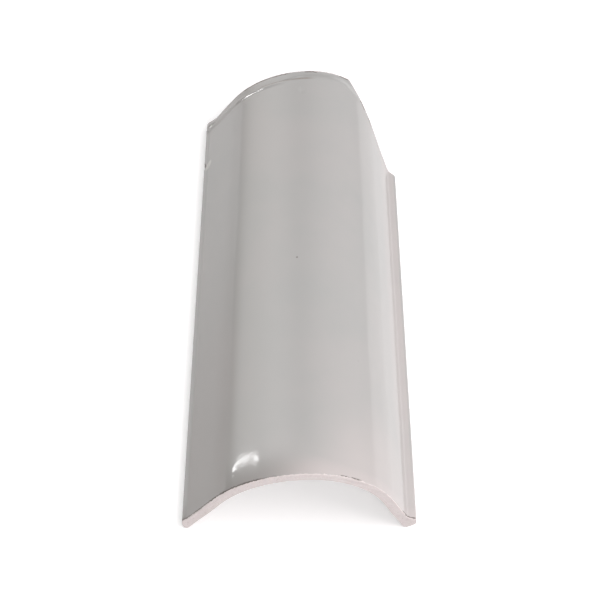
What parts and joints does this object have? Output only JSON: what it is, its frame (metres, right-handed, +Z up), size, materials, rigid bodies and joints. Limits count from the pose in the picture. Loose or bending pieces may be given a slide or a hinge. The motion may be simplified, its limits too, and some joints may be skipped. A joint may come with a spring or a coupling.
{
  "type": "verge end tile",
  "caption": "Tapered vaulted verge tile of glazed clay standing on side toes, with a lowered lap at the narrow head and a clipped head corner, for closing a roof edge.",
  "frame": {"origin": "middle of the tile's box, on the floor plane under the feet", "axes": "+Y runs along the tile from the wide front to the narrow head, +Z up from the feet to the crown, +X towards the steep leg and the clipped head corner"},
  "size_m": [0.2, 0.45, 0.091],
  "materials": {
    "glazed_clay": "gloss light grey glaze above, bare pale clay on the end faces and underside"
  },
  "bodies": {
    "root": {"verge_end_tile": "glazed_clay"}
  },
  "joints": []
}
